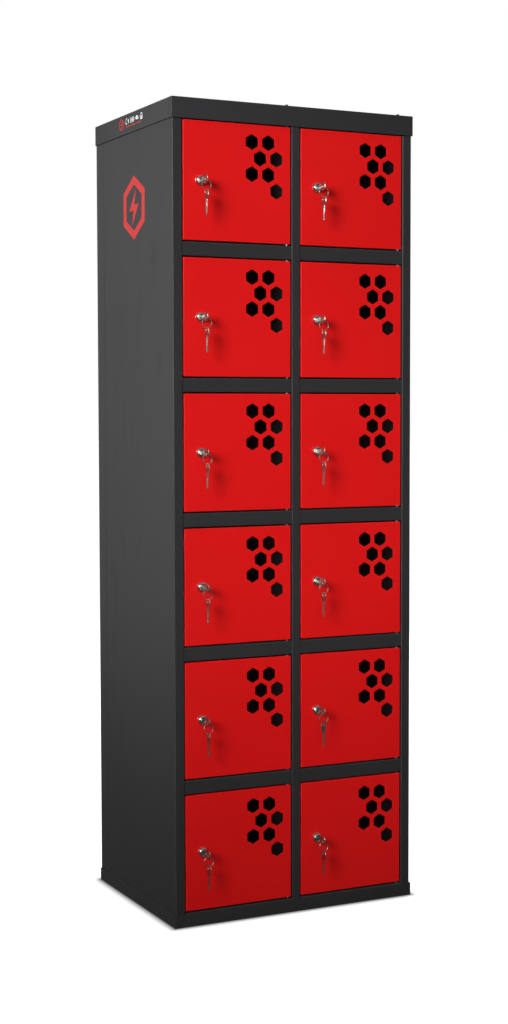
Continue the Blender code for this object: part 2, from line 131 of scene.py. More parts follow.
class Shape:
    """Points with a wear_and_highlight value each, and faces with a material number each."""

    def __init__(self):
        self.points, self.wear_and_highlight, self.faces, self.paints = [], [], [], []
        self.count = 0

    def add(self, points, faces, wear_and_highlight=0.0, paint=0):
        """More points, all with one wear_and_highlight value or with one each, and faces that count
        from the first.
        """
        points = np.asarray(points, float).reshape(-1, 3)
        self.points.append(points)
        self.wear_and_highlight.append(np.broadcast_to(np.ravel(wear_and_highlight), len(points)) if np.size(wear_and_highlight) == 1
                         else np.ravel(wear_and_highlight))
        self.faces += [tuple(face) for face in (np.asarray(faces) + self.count).tolist()]
        self.paints += [paint] * len(faces)
        self.count += len(points)
        return self

    def grid(self, points, wrap=False, close=False, wear_and_highlight=0.0, paint=0):
        """A patch from an (n, m, 3) array; wrap joins its last column to the first, close its rows."""
        rows, columns = points.shape[:2]
        number = np.arange(rows * columns).reshape(rows, columns)
        if wrap:
            number = np.concatenate([number, number[:, :1]], 1)
        if close:
            number = np.concatenate([number, number[:1]], 0)
        faces = np.stack([number[:-1, :-1], number[:-1, 1:], number[1:, 1:], number[1:, :-1]], -1)
        wear_and_highlight = np.repeat(wear_and_highlight, columns) if np.size(wear_and_highlight) == rows else wear_and_highlight
        return self.add(points, faces.reshape(-1, 4), wear_and_highlight, paint)

    def join(self, other):
        """The other shape's points and faces as well."""
        start = self.count
        self.points += other.points
        self.wear_and_highlight += other.wear_and_highlight
        self.faces += [tuple(corner + start for corner in face) for face in other.faces]
        self.paints += other.paints
        self.count += other.count
        return self

    def placed(self, origin=(0, 0, 0), axes=((1, 0, 0), (0, 1, 0), (0, 0, 1))):
        """A copy whose first, second and third coordinates run along these axes from origin."""
        moved = Shape()
        turn = np.array(axes, float)
        moved.points = [points @ turn + np.array(origin) for points in self.points]
        moved.wear_and_highlight, moved.faces, moved.paints = list(self.wear_and_highlight), list(self.faces), list(self.paints)
        moved.count = self.count
        return moved

    def mesh(self, name):
        """A mesh with doubles merged, faces outwards, and folds smooth between sharp edges."""
        made = bpy.data.meshes.new(name)
        made.from_pydata(np.concatenate(self.points).tolist(), [], self.faces)
        made.polygons.foreach_set("material_index", self.paints)
        layer = made.attributes.new("wear_and_highlight", "FLOAT", "POINT")
        layer.data.foreach_set("value", np.concatenate(self.wear_and_highlight).astype(np.float32))
        bm = bmesh.new()
        bm.from_mesh(made)
        bmesh.ops.remove_doubles(bm, verts=bm.verts, dist=1e-6)
        bmesh.ops.recalc_face_normals(bm, faces=bm.faces)
        bm.to_mesh(made)
        bm.free()
        made.shade_smooth()
        made.set_sharp_from_angle(angle=SHARP)
        return made


def circle(radius, steps, middle=(0, 0)):
    """Points round a circle, anticlockwise: middle + radius (cos a, sin a)."""
    angle = np.arange(steps) * math.tau / steps
    return np.stack([middle[0] + radius * np.cos(angle), middle[1] + radius * np.sin(angle)], 1)


def rounded_polygon(corners, radius, steps=4):
    """A convex polygon, anticlockwise, with each corner an arc of this radius inside it."""
    corners = np.array(corners, float)
    into = corners - np.roll(corners, 1, 0)
    into /= np.linalg.norm(into, axis=1)[:, None]
    out = np.roll(into, -1, 0)
    start = np.arctan2(-into[:, 0], into[:, 1])
    turn = np.arctan2(into[:, 0] * out[:, 1] - into[:, 1] * out[:, 0], (into * out).sum(1))
    bisector = np.stack([out[:, 0] - into[:, 0], out[:, 1] - into[:, 1]], 1)
    bisector /= np.linalg.norm(bisector, axis=1)[:, None]
    middle = corners + bisector * (radius / np.cos(turn / 2))[:, None]
    angle = start[:, None] + turn[:, None] * np.linspace(0, 1, steps + 1)
    ring = np.stack([np.cos(angle), np.sin(angle)], -1) * radius
    return (middle[:, None] + ring).reshape(-1, 2)


def rectangle(width, height, radius, middle=(0, 0), steps=4):
    """A rectangle about its middle, its corners rounded."""
    half = np.array([(1, -1), (1, 1), (-1, 1), (-1, -1)]) * (width / 2, height / 2)
    return rounded_polygon(half + middle, radius, steps)


def hexagon(flats, radius, middle=(0, 0)):
    """A hexagon that stands on a corner."""
    return rounded_polygon(circle(flats / math.sqrt(3), 6) @ ((0, 1), (-1, 0)) + middle, radius)


def grown(outline, distance):
    """An outline moved outwards: each point goes along the mean of its two edges' normals."""
    along = np.roll(outline, -1, 0) - outline
    along /= np.maximum(np.linalg.norm(along, axis=1), 1e-9)[:, None]
    normal = np.stack([along[:, 1], -along[:, 0]], 1)
    mean = normal + np.roll(normal, 1, 0)
    mean /= np.maximum((mean * mean).sum(1), 0.4)[:, None] / 2
    return outline + mean * distance


def inside(points, outline):
    """Which points an outline holds, by how often a ray to the right crosses it."""
    x, y = points[:, :1], points[:, 1:]
    ax, ay = outline[:, 0], outline[:, 1]
    bx, by = np.roll(ax, -1), np.roll(ay, -1)
    over = (ay > y) != (by > y)
    rise = np.where(by == ay, 1, by - ay)
    return (over & (x < (bx - ax) * (y - ay) / rise + ax)).sum(1) % 2 == 1


def filled(outline, holes=()):
    """(points, triangles) of an outline less its holes."""
    loops = [outline, *holes]
    starts = np.cumsum([0] + [len(loop) for loop in loops])
    edges = [(start + k, start + (k + 1) % len(loop))
             for start, loop in zip(starts, loops) for k in range(len(loop))]
    face = list(range(len(outline)))
    flat = [Vector(point) for point in np.concatenate(loops)]
    points, _, triangles, *_ = delaunay_2d_cdt(flat, edges, [face], 1, 1e-7)
    points, triangles = np.array(points), np.array(triangles)
    middles = points[triangles].mean(1)
    keep = inside(middles, outline)
    for hole in holes:
        keep &= ~inside(middles, hole)
    return points, triangles[keep]


def at_height(flat, height):
    """2-D points with a third coordinate."""
    return np.concatenate([flat, np.full((*flat.shape[:-1], 1), height)], -1)


def slab(outline, thickness, holes=(), chamfer=0.0002, paint=0):
    """A plate from height 0 to thickness, with rounded-off edges round its outline and holes."""
    made = Shape()
    loops = [(outline, 1), *((hole, -1) for hole in holes)]
    inner = [grown(loop, -chamfer * way) for loop, way in loops]
    for height in (0, thickness):
        points, triangles = filled(inner[0], inner[1:])
        made.add(at_height(points, height), triangles, 0.0, paint)
    heights = (0, chamfer, thickness - chamfer, thickness)
    for (loop, _), drawn_in in zip(loops, inner):
        rows = [at_height(flat, height)
                for flat, height in zip((drawn_in, loop, loop, drawn_in), heights)]
        made.grid(np.stack(rows), wrap=True, wear_and_highlight=(0, 0.6, 0.6, 0), paint=paint)
    return made


def lathe(profile, steps, paint=0):
    """A closed (radius, height) profile carried round the third axis."""
    profile = np.array(profile, float)
    angle = np.arange(steps) * math.tau / steps
    radius, height = profile[:, :1], profile[:, 1:]
    points = np.stack([radius * np.cos(angle), radius * np.sin(angle),
                       np.broadcast_to(height, (len(profile), steps))], -1)
    return Shape().grid(points, wrap=True, close=True, paint=paint)


def tube(path, radius, sides, flat):
    """A wire along a path of points: at each, an oval of the radius across, and of the radius
    times flat along Y."""
    along = np.gradient(path, axis=0)
    along /= np.linalg.norm(along, axis=1)[:, None]
    side = np.tile([0.0, 1.0, 0.0], (len(path), 1))
    side -= along * (side * along).sum(1)[:, None]
    side /= np.linalg.norm(side, axis=1)[:, None]
    up = np.cross(along, side)
    angle = np.arange(sides) * math.tau / sides
    points = path[:, None] + radius * (np.cos(angle)[:, None] * up[:, None]
                                       + flat * np.sin(angle)[:, None] * side[:, None])
    made = Shape().grid(points, wrap=True)
    for end in (0, -1):
        made.add(points[end], [tuple(range(sides))])
    return made


def fold_line(path, radius):
    """The outer line of a folded sheet with its folds rounded, as (points, left normals,
    wear_and_highlight).

    The outside is on the right of the path. A fold is an arc of the outer radius where the path
    turns left and of the radius less the sheet where it turns right."""
    path = np.array(path, float)
    radii = np.broadcast_to(radius, len(path) - 2)
    points, tangents, wear_and_highlight = [path[0]], [], [0.0]
    ways = np.diff(path, axis=0)
    lengths = np.linalg.norm(ways, axis=1)
    ways /= lengths[:, None]
    tangents.append(ways[0])
    for k, corner in enumerate(path[1:-1]):
        into, out = ways[k], ways[k + 1]
        turn = math.atan2(into[0] * out[1] - into[1] * out[0], into @ out)
        bend = radii[k] if turn > 0 else max(radii[k] - SHEET, TIGHTEST_BEND)
        back = bend * math.tan(abs(turn) / 2)
        left = np.array([-into[1], into[0]]) * math.copysign(1, turn)
        middle = corner - into * back + left * bend
        angles = np.linspace(0, turn, FOLD_STEPS + 1)
        cos, sin = np.cos(angles)[:, None], np.sin(angles)[:, None]
        spoke = -left
        turned = cos * spoke + sin * np.array([-spoke[1], spoke[0]])
        headed = cos * into + sin * np.array([-into[1], into[0]])
        strip = min(STRIP, bend)
        points += [corner - into * (back + strip), *(middle + turned * bend),
                   corner + out * (back + strip)]
        tangents += [into, *headed, out]
        wear_and_highlight += [0.0, *([1.0] * len(angles)), 0.0]
    points.append(path[-1])
    tangents.append(ways[-1])
    wear_and_highlight.append(0.0)
    tangents = np.array(tangents)
    return np.array(points), np.stack([-tangents[:, 1], tangents[:, 0]], 1), np.array(wear_and_highlight)


def folded(path, low, high, radius=BEND):
    """A folded sheet: the rounded line and its inner copy, carried from height low to high."""
    outer, left, wear_and_highlight = fold_line(path, radius)
    inner = outer + left * SHEET
    made = Shape()
    heights = (low, low + STRIP, high - STRIP, high)
    end_wear_and_highlight = (0.8, 0, 0, 0.8)
    for line, share in ((outer, 1.0), (inner, 0.4)):
        rows = np.stack([at_height(line, height) for height in heights])
        worn_and_highlit = np.maximum(wear_and_highlight[None] * share, np.array(end_wear_and_highlight)[:, None] * share * 0.5)
        made.grid(rows, wear_and_highlight=worn_and_highlit.ravel())
    for height in (low, high):
        made.grid(at_height(np.stack([outer, inner]), height), wear_and_highlight=0.5)
    for end in (0, -1):
        edge = np.stack([outer[end], inner[end]])
        made.grid(np.stack([at_height(edge, height) for height in heights]), wear_and_highlight=0.5)
    return made


def pan(width, height, depth, radius=BEND, holes=()):
    """A pan lying in the first two axes, its face at height 0 and its rim at depth.

    Its wall is a profile of (inset from the outline, height) carried round a rounded rectangle;
    the two plates fill what the wall leaves; each hole's wall flares at the face."""
    corner, lip = 0.0012, 0.00025
    arc = np.linspace(0, math.pi / 2, FOLD_STEPS + 1)
    outer_fold = np.stack([radius - radius * np.sin(arc), radius - radius * np.cos(arc)], 1)
    inner = max(radius - SHEET, TIGHTEST_BEND)
    inner_fold = np.stack([radius - inner * np.sin(arc), radius - inner * np.cos(arc)], 1)[::-1]
    rim = [(0, depth - lip), (lip, depth), (SHEET - lip, depth), (SHEET, depth - lip)]
    profile = [(radius + STRIP, 0), *outer_fold, (0, radius + STRIP), *rim,
               (SHEET, radius + STRIP), *inner_fold, (radius + STRIP, SHEET)]
    folds = len(outer_fold)
    wear_and_highlight = [0, *[1.0] * folds, 0, 0.3, 0.8, 0.8, 0.3, 0, *[0.3] * folds, 0]
    loops = [rectangle(width - 2 * inset, height - 2 * inset, max(corner - inset, 0.0003))
             for inset, _ in profile]
    made = Shape()
    rows = [at_height(loop, level) for loop, (_, level) in zip(loops, profile)]
    made.grid(np.stack(rows), wrap=True, wear_and_highlight=wear_and_highlight)
    flare = ((HOLE_LIP + STRIP / 2, 0), (HOLE_LIP, 0), (HOLE_LIP * 0.3, HOLE_LIP * 0.3),
             (0, HOLE_LIP), (0, SHEET))
    edges = [[grown(hole, more) for more, _ in flare] for hole in holes]
    for loop, level, which in ((loops[0], 0, 0), (loops[-1], SHEET, -1)):
        points, triangles = filled(loop, [edge[which] for edge in edges])
        made.add(at_height(points, level), triangles)
    for edge in edges:
        rows = [at_height(loop, level) for loop, (_, level) in zip(edge, flare)]
        made.grid(np.stack(rows), wrap=True, wear_and_highlight=(0, 0.2, 1, 0.6, 0))
    return made


# ---------------- finishes


class Value:
    """A number on a socket: an operator on it adds the Math node that works it out."""

    def __init__(self, finish, socket):
        self.finish, self.socket = finish, socket

    def maths(self, operation, second=0.0, first=None):
        """The Math node of this operation on two numbers or values, the first being this one."""
        first = self if first is None else first
        return self.finish.node("ShaderNodeMath", {"operation": operation}, {0: first, 1: second})

    def __add__(self, other):
        return self.maths("ADD", other)

    def __sub__(self, other):
        return self.maths("SUBTRACT", other)

    def __rsub__(self, other):
        return self.maths("SUBTRACT", self, other)

    def __mul__(self, other):
        return self.maths("MULTIPLY", other)

    def __pow__(self, other):
        return self.maths("POWER", other)

    __radd__, __rmul__ = __add__, __mul__


class Finish:
    """A material whose nodes are added one by one; its shader's sockets are set at the end."""

    def __init__(self, name):
        self.material = bpy.data.materials.new(name)
        self.material.use_nodes = True
        self.tree = self.material.node_tree
        self.shader = self.tree.nodes["Principled BSDF"]

    def node(self, kind, settings=None, sockets=None, output=0):
        """Any node: its type, its settings, its sockets' values or links, and the output wanted."""
        made = self.tree.nodes.new(kind)
        for key, setting in (settings or {}).items():
            setattr(made, key, setting)
        for key, value in (sockets or {}).items():
            self.feed(made.inputs[key], value)
        return Value(self, made.outputs[output])

    def feed(self, socket, value):
        """A link from a value, or a plain number or colour set on the socket itself."""
        if isinstance(value, Value):
            self.tree.links.new(value.socket, socket)
        else:
            colour = socket.type == "RGBA"
            socket.default_value = (*value, 1) if colour else value

    def place(self, scale=(1, 1, 1)):
        """The piece's own coordinates in metres, stretched along its axes."""
        coordinates = self.node("ShaderNodeTexCoord", output="Object")
        return self.node("ShaderNodeMapping", {}, {"Vector": coordinates, "Scale": scale})

    def noise(self, size, detail=2.0, place=None, roughness=0.5):
        """Noise from 0 to 1 in lumps of about this size in metres."""
        return self.node("ShaderNodeTexNoise", {"noise_dimensions": "3D"},
                         {"Vector": place or self.place(), "Scale": 1 / size, "Detail": detail,
                          "Roughness": roughness})

    def between(self, value, low, high):
        """The value's share of the way from low to high, kept from 0 to 1."""
        return self.node("ShaderNodeMapRange", {"clamp": True},
                         {"Value": value, "From Min": low, "From Max": high})

    def blend(self, share, first, second):
        """A colour from first to second."""
        return self.node("ShaderNodeMix", {"data_type": "RGBA"}, {0: share, 6: first, 7: second}, 2)

    def wear_and_highlight(self):
        """How much a point is scuffed and highlit, which its folds and cut edges carry; the powder
        coat paints it lighter there, partly as scuffing and partly as a painted highlight.
        """
        return self.node("ShaderNodeAttribute", {"attribute_name": "wear_and_highlight"}, output="Fac")

    def bump(self, height, strength, distance):
        return self.node("ShaderNodeBump", {},
                         {"Height": height, "Strength": strength, "Distance": distance})

    def done(self, **sockets):
        """The material, its shader's sockets fed by name with _ for a space."""
        for name, value in sockets.items():
            self.feed(self.shader.inputs[name.replace("_", " ")], value)
        return self.material


def powder_coat(name, low, high, rubbed_and_highlit, roughness, sheen):
    """Baked powder paint: orange peel, a slow drift of colour, faint handling marks, and folds
    lighter in patches, partly as scuffing and partly as a painted highlight.
    """
    finish = Finish(name)
    drift = finish.noise(0.35, 3)
    peel = finish.noise(0.0021, 1.5)
    grit = finish.noise(0.00055, 1.0)
    marks = finish.between(finish.noise(0.05, 5, finish.place((1, 1, 0.35))), 0.56, 0.74)
    # the folds' and cut edges' lighter colour, in patches: partly scuffing, partly a painted highlight
    worn_and_highlit = finish.wear_and_highlight() * finish.between(finish.noise(0.012, 4), 0.30, 0.62)
    colour = finish.blend(finish.between(drift, 0.3, 0.7), low, high)
    colour = finish.blend(worn_and_highlit * 0.5, colour, rubbed_and_highlit)
    rough = roughness + (peel - 0.5) * 0.10 + marks * 0.07 + worn_and_highlit * 0.06
    height = peel * 0.8 + grit * 0.2
    return finish.done(Base_Color=colour, Roughness=rough, Normal=finish.bump(height, 0.16, 0.00012),
                       Specular_IOR_Level=sheen)


def plated(name, colour, stained, roughness, grain=(1, 1, 1), lines=0.0006, strength=0.08):
    """Plated metal: fine polishing lines along one axis, smears, and dull edges."""
    finish = Finish(name)
    polish = finish.noise(lines, 3, finish.place(grain))
    smear = finish.between(finish.noise(0.004, 4), 0.45, 0.7)
    tone = finish.blend(smear * 0.6 + finish.wear_and_highlight() * 0.2, colour, stained)
    rough = roughness + polish * 0.08 + smear * 0.10
    return finish.done(Base_Color=tone, Roughness=rough, Metallic=1.0,
                       Normal=finish.bump(polish, strength, 0.00005))


def moulded(name, colour, roughness):
    """Moulded plastic with a fine spark-eroded grain."""
    finish = Finish(name)
    grain = finish.noise(0.0004, 2)
    tone = finish.blend(finish.noise(0.01, 3) * 0.3, colour, [0.7 * part for part in colour])
    return finish.done(Base_Color=tone, Roughness=roughness + (grain - 0.5) * 0.12,
                       Normal=finish.bump(grain, 0.12, 0.00005))


def printed(name, colour):
    """Cut vinyl: a soft sheen, slight unevenness, edges a little darker."""
    finish = Finish(name)
    tone = finish.blend(finish.noise(0.02, 4) * 0.35 + finish.wear_and_highlight() * 0.2, colour,
                        [0.78 * part for part in colour])
    ripple = finish.noise(0.006, 2)
    return finish.done(Base_Color=tone, Roughness=0.42 + (ripple - 0.5) * 0.1,
                       Normal=finish.bump(ripple, 0.05, 0.0001))


def lamp(name, colour):
    """A small glowing indicator."""
    finish = Finish(name)
    speck = finish.noise(0.0005, 1)
    return finish.done(Base_Color=colour, Roughness=0.2 + speck * 0.1, Emission_Color=colour,
                       Emission_Strength=1.5)


# the third colour of each powder coat is its folds' lighter colour: partly scuffing, partly a painted
# highlight
CHARCOAL = powder_coat("charcoal_powder_coat", (0.0205, 0.0195, 0.0215), (0.0235, 0.0225, 0.0245),
                       (0.034, 0.033, 0.035), 0.46, 0.5)
RED = powder_coat("red_powder_coat", (0.70, 0.0065, 0.0068), (0.74, 0.0080, 0.0080),
                  (0.74, 0.020, 0.018), 0.42, 0.15)
CHROME = plated("lock_chrome", (0.66, 0.65, 0.63), (0.38, 0.36, 0.33), 0.13)
NICKEL = plated("key_nickel", (0.46, 0.43, 0.38), (0.27, 0.24, 0.20), 0.24, (1, 1, 0.05), 0.0002)
ZINC = plated("zinc_steel", (0.36, 0.36, 0.37), (0.20, 0.19, 0.18), 0.32)
BLACK_PLASTIC = moulded("black_moulding", (0.018, 0.018, 0.019), 0.48)
GREY_PLASTIC = moulded("pale_moulding", (0.62, 0.62, 0.60), 0.40)
RED_VINYL = printed("red_vinyl", (0.66, 0.012, 0.012))
WHITE_VINYL = printed("white_vinyl", (0.80, 0.80, 0.79))
READY_LAMP = lamp("ready_lamp", (0.05, 0.75, 0.18))


# ---------------- placing

INTO = ((1, 0, 0), (0, 0, 1), (0, 1, 0))  # drawn on the front, height into the cabinet
FORWARD = ((1, 0, 0), (0, 0, 1), (0, -1, 0))  # drawn on the front, height towards the user
FROM_BACK = ((-1, 0, 0), (0, 0, 1), (0, 1, 0))  # drawn on the back, height away from it
INTO_BACK = ((-1, 0, 0), (0, 0, 1), (0, -1, 0))  # drawn on the back, height into the cabinet
ON_LEFT = ((0, -1, 0), (0, 0, 1), (-1, 0, 0))  # drawn on the left side, height outwards
SIDEWAYS = ((0, 1, 0), (0, 0, 1), (1, 0, 0))  # drawn from the side, height along X
DOWN = ((1, 0, 0), (0, -1, 0), (0, 0, -1))  # drawn on the top, height downwards


def piece(name, shape, body, finishes, replaces=()):
    """A finished piece riding on a body and the nodes that it stands for."""
    made = bpy.data.objects.new(name, shape.mesh(name))
    bpy.context.scene.collection.objects.link(made)
    for finish in finishes if isinstance(finishes, tuple) else (finishes,):
        made.data.materials.append(finish)
    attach(made, body)
    if replaces:
        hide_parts(*replaces)


def middle_of(low, high):
    return (low + high) / 2


# ---------------- doors


def vents(width, height):
    """The middles of a door's hexagons, drawn on the door from its own middle."""
    half, row = np.array(VENT_PLACES, float).T
    x = width / 2 - VENT_FROM_EDGE - (half.max() - half) * VENT_PITCH / 2
    y = height / 2 - VENT_FROM_TOP - row * VENT_PITCH * math.sqrt(3) / 2
    return np.stack([x, y], 1)


def door_shape(width, height, depth, lock_x):
    """A door's pan with its vents and the lock's hole."""
    holes = [hexagon(VENT_FLATS, VENT_CORNER, middle) for middle in vents(width, height)]
    holes.append(circle(BARREL_RADIUS + BARREL_PLAY, 40, (lock_x, 0)))
    return pan(width, height, depth, DOOR_BEND, holes)


def pin_shape():
    """A rod with its ends turned down: radius and height by way of a small chamfer."""
    length, chamfer = PIN_REACH + PIN_TAIL, PIN_RADIUS * 0.2
    shoulder = PIN_RADIUS - chamfer
    return lathe([(0, 0), (shoulder, 0), (PIN_RADIUS, chamfer), (PIN_RADIUS, length - chamfer),
                  (shoulder, length), (0, length)], 20)


# ---------------- locks


def bezel_shape():
    """The lock's face: a dome on a thin flange, drawn in to the plug's bore in front.

    The dome is a quarter of an ellipse: out from the bore's rim, and forwards from the flange."""
    lip, flange, seat = BORE_RADIUS + 0.0014, 0.0011, FIT
    sweep = np.linspace(0, math.pi / 2, 12)
    across, rise = BEZEL_RADIUS - 0.0003 - lip, BEZEL_REACH - 0.0002 - flange
    dome = np.stack([lip + across * np.cos(sweep), flange + rise * np.sin(sweep)], 1)
    brow = [(BORE_RADIUS, BEZEL_REACH - 0.0012), (BORE_RADIUS + 0.0005, BEZEL_REACH - 0.0007),
            (BORE_RADIUS + 0.0010, BEZEL_REACH - 0.0006)]
    edge = [(BEZEL_RADIUS, flange - 0.0002), (BEZEL_RADIUS, seat + 0.0002),
            (BEZEL_RADIUS - 0.0002, seat)]
    return lathe([(BORE_RADIUS, seat), *brow, *dome[::-1], *edge], 56)


def barrel_shape():
    """The threaded barrel: radius falls by the thread's depth in a saw that climbs as it turns,
    and two flats cut it where it sits in the door's hole."""
    steps, rows, length = 40, 70, BARREL_LENGTH - FIT
    angle = np.arange(steps) * math.tau / steps
    height = np.linspace(0, length, rows)[:, None]
    saw = np.abs((height / THREAD_PITCH - angle / math.tau) % 1 * 2 - 1)
    lead = np.clip(np.minimum(height, length - height) / THREAD_PITCH, 0, 1)
    radius = BARREL_RADIUS - THREAD_DEPTH * (1 - saw) * lead - THREAD_END * (1 - lead)
    flat = BARREL_FLAT / np.maximum(np.abs(np.sin(angle)), 1e-3)
    radius = np.minimum(radius, flat)
    outside = np.stack([radius * np.cos(angle), radius * np.sin(angle),
                        np.broadcast_to(-FIT - height, radius.shape)], -1)
    ends = [at_height(circle(BORE_RADIUS, steps), -FIT - reach) for reach in (0, length)]
    points = np.concatenate([ends[:1], outside, ends[1:]])
    return Shape().grid(points, wrap=True, close=True)


def nut_shape(radius):
    """The nut behind the door's sheet, its hexagon's corners at this radius."""
    outline = hexagon(radius * math.sqrt(3), 0.0004)
    nut = slab(outline, NUT_THICKNESS, [circle(BARREL_RADIUS, 40)], 0.0004)
    return nut.placed((0, 0, -SHEET - FIT - NUT_THICKNESS))


def plug_shape():
    """The turning plug, its edges chamfered and its keyway cut right through it."""
    keyway = rectangle(KEY_THICKNESS + 0.0005, KEY_BLADE + 0.0006, 0.0002)
    return slab(circle(PLUG_RADIUS, 40), BARREL_LENGTH + CAM_GAP + PLUG_REACH, [keyway], 0.0004)


def cam_shape():
    """The flat arm that turns behind the door's frame, its end rounded off."""
    half = CAM_WIDTH / 2
    sweep = np.linspace(0, math.pi, 13)
    tip = np.stack([-half * np.cos(sweep), -CAM_LENGTH + half * (1 - np.sin(sweep))], 1)
    head = np.stack([half * np.cos(sweep), half * np.sin(sweep)], 1)
    made = slab(np.concatenate([tip, head]), CAM_THICKNESS, [circle(CAM_HOLE, 20)], 0.0003)
    screw = slab(hexagon(0.0090, 0.0003), 0.0022, [hexagon(0.0040, 0.0002)], 0.0004)
    return made.join(screw.placed((0, 0, CAM_THICKNESS)))


# ---------------- keys


def bow_outline():
    """A round bow with squarer shoulders: a superellipse, |x/r|^n + |y/r|^n = 1, with n = 2.5."""
    steps, power = 56, 2 / 2.5
    angle = np.arange(steps) * math.tau / steps
    cos, sin = np.cos(angle), np.sin(angle)
    return BOW_RADIUS * np.stack([np.sign(cos) * np.abs(cos) ** power * 0.97,
                                  np.sign(sin) * np.abs(sin) ** power * 0.94], 1)


def blade_shape(start, end):
    """A key's blade along the first axis: a grooved section whose lower edge follows the cuts,
    flat-bottomed notches with sloped sides, and whose end is drawn in on both edges."""
    notch = np.array([-0.0015, -0.0005, 0.0005, 0.0015])
    cut_at = (CUT_PLACES[:, None] + notch).ravel()
    cut_by = (CUT_DEPTHS[:, None] * (0, 1, 1, 0)).ravel()
    tip, shoulder, neck = 0.0024, 0.0150, 0.0162
    keep = cut_at < end - tip
    turns = [start, shoulder, neck, end - tip, end]
    stations = np.unique(np.concatenate([turns, cut_at[keep]]))
    half = np.interp(stations, turns, [0.0050, 0.0050, KEY_BLADE / 2, KEY_BLADE / 2, 0.0010])
    low = -half + np.interp(stations, cut_at[keep], cut_by[keep]) if keep.any() else -half
    thick, edge = KEY_THICKNESS / 2, 0.0003
    low_lip, high_lip, slope, groove = 0.0001, 0.0018, 0.0002, thick - 0.0006
    wall = [(low_lip, thick), (low_lip + slope, groove), (high_lip - slope, groove), (high_lip, thick)]
    section = []
    for side in (1, -1):
        face = [(low, side * (thick - edge)), (low + edge, side * thick)]
        face += [(np.minimum(np.full_like(low, across), half - 2 * edge), side * level)
                 for across, level in wall]
        face += [(half - edge, side * thick), (half, side * (thick - edge))]
        section += face[::side]
    across = np.stack([part for part, _ in section], 1)
    levels = np.broadcast_to([level for _, level in section], across.shape)
    along = np.broadcast_to(stations[:, None], across.shape)
    points = np.stack([along, across, levels], -1)
    made = Shape().grid(points, wrap=True)
    for end_row in (0, -1):
        made.add(points[end_row], [tuple(range(points.shape[1]))])
    return made


def key_shape(end):
    """Bow and blade, blade along the first axis, teeth down the second, flat across the third."""
    bow = slab(bow_outline(), KEY_THICKNESS, [circle(BOW_HOLE, 28, (-BOW_HOLE_OFFSET, 0))], 0.0004)
    return bow.placed((0, 0, -KEY_THICKNESS / 2)).join(blade_shape(BOW_RADIUS * 0.88, end))


def ring_shape():
    """A split ring: a flat wire wound twice, each turn beside the other, crossing over half-way."""
    turns = np.linspace(0, 1, 97)
    angle = math.radians(250) + turns * math.tau * 1.96
    crossing = np.clip((turns - 0.5) / 0.06 + 0.5, 0, 1)
    beside = (crossing * crossing * (3 - 2 * crossing) - 0.5) * RING_WIRE
    path = np.stack([RING_RADIUS * np.cos(angle), beside, RING_RADIUS * np.sin(angle)], 1)
    return tube(path, RING_WIRE * 0.9, 8, 0.5)


# ---------------- cabinet


def side_shape(hand, low, high):
    """A side with its stile: a line round the corner seen from above, with the pressed seam."""
    outer = hand * max(abs(low.x), abs(high.x))
    line = [(hand * STILE_X, low.y + STILE_DEPTH), (hand * STILE_X, low.y), (outer, low.y),
            (outer, SEAM_Y - SEAM_HALF), (outer - hand * SEAM_DEPTH, SEAM_Y),
            (outer, SEAM_Y + SEAM_HALF), (outer, high.y)]
    radii = (BEND, BEND, TIGHTEST_BEND, TIGHTEST_BEND, TIGHTEST_BEND)
    return folded(line[::hand], low.z, high.z, radii[::hand])


def make_sides():
    """The two side panels, mirror images."""
    for name, hand in (("left", -1), ("right", 1)):
        shape = side_shape(hand, *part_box(f"{name}_side"))
        piece(f"{name}_side_panel", shape, "cabinet", CHARCOAL, [f"{name}_side"])


def make_divider():
    """The mullion's channel, and the web behind it with a notch for each shelf."""
    deep = FRONT + STILE_DEPTH
    path = [(-MULLION_X, deep), (-MULLION_X, FRONT), (MULLION_X, FRONT), (MULLION_X, deep)]
    made = folded(path, LOW, HIGH, MULLION_BEND)
    back = DIVIDER[1].y
    tops = [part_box(f"shelf_{row}")[1].z for row in reversed(ROWS[:-1])]
    outline = [(FRONT + SHEET, LOW), (back, LOW)]
    for top in tops:
        under, over = top - SHEET - FIT, top + FIT
        outline += [(back, under), (0, under), (0, over), (back, over)]
    outline += [(back, HIGH), (FRONT + SHEET, HIGH)]
    web = slab(np.array(outline), SHEET)
    made.join(web.placed((-SHEET / 2, 0, 0), SIDEWAYS))
    piece("mullion_and_web", made, "cabinet", CHARCOAL, ["centre_divider"])


def ledge(path, span, radius=BEND):
    """A section drawn from the side, as (depth, height), carried along X over a span."""
    return folded(path, *span, radius).placed(axes=SIDEWAYS)


def make_shelves():
    """Each shelf: a folded rail in each bay, and the flat behind the uprights that they run into."""
    seam, slot, duct = FRONT + STILE_DEPTH + FIT, SHEET / 2 + FIT, DUCT_HALF + FIT
    duct_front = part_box("power_duct")[0].y - FIT
    for row in ROWS[:-1]:
        low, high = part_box(f"shelf_{row}")
        made = Shape()
        face = low.y
        path = [(seam, high.z), (face, high.z), (face, low.z), (face + RAIL_RETURN, low.z)]
        for span in BAYS:
            made.join(ledge(path, span))
        right = [(slot, seam), (high.x, seam), (high.x, high.y), (duct, high.y), (duct, duct_front),
                 (FIT, duct_front), (FIT, FIT), (slot, FIT)]
        outline = np.array(right + [(-x, y) for x, y in reversed(right)])
        made.join(slab(outline, SHEET).placed((0, 0, high.z - SHEET)))
        piece(f"shelf_panel_{row}", made, "cabinet", CHARCOAL, [f"shelf_{row}"])


